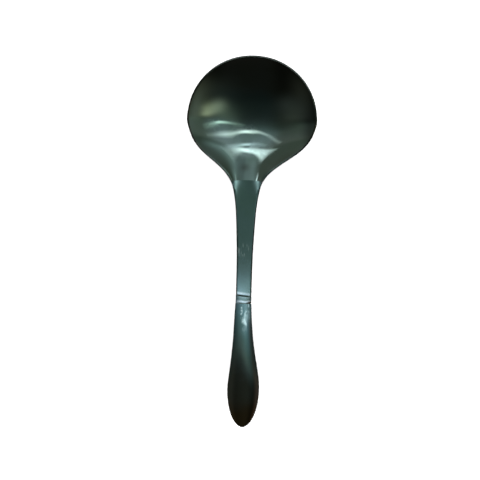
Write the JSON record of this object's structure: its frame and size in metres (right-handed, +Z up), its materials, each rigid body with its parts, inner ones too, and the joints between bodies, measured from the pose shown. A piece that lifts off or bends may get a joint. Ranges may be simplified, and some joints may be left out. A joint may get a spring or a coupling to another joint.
{
  "type": "sauce ladle",
  "caption": "Small dark polished-steel ladle with a round, shouldered bowl, a flat bevelled stem, a collar and a hollow leaf-shaped grip.",
  "frame": {"origin": "on the table under the middle of the ladle's bounding box, as the ladle lies at rest on its bowl and on the tip of its grip", "axes": "+Y along the ladle, from the grip towards the bowl's far lip; +Z up from the table, out of the bowl's mouth; +X across, to the right of someone who looks from the grip to the bowl"},
  "size_m": [0.0616, 0.1784, 0.0278],
  "materials": {
    "bowl_steel": "dark polished steel, worn and faintly scratched",
    "stem_steel": "dark polished steel, flat face with bevelled edges",
    "collar_steel": "rubbed steel, brighter than the stem",
    "grip_steel": "dark polished steel, slightly dented, browned towards the tip",
    "solder": "dull brown solder line",
    "cement": "matt cement, hidden inside the grip"
  },
  "bodies": {
    "root": {"bowl": "bowl_steel", "stem": "stem_steel", "collar": "collar_steel", "grip_top_shell": "grip_steel", "grip_bottom_shell": "grip_steel", "grip_seam": "solder", "grip_filler": "cement"}
  },
  "joints": []
}
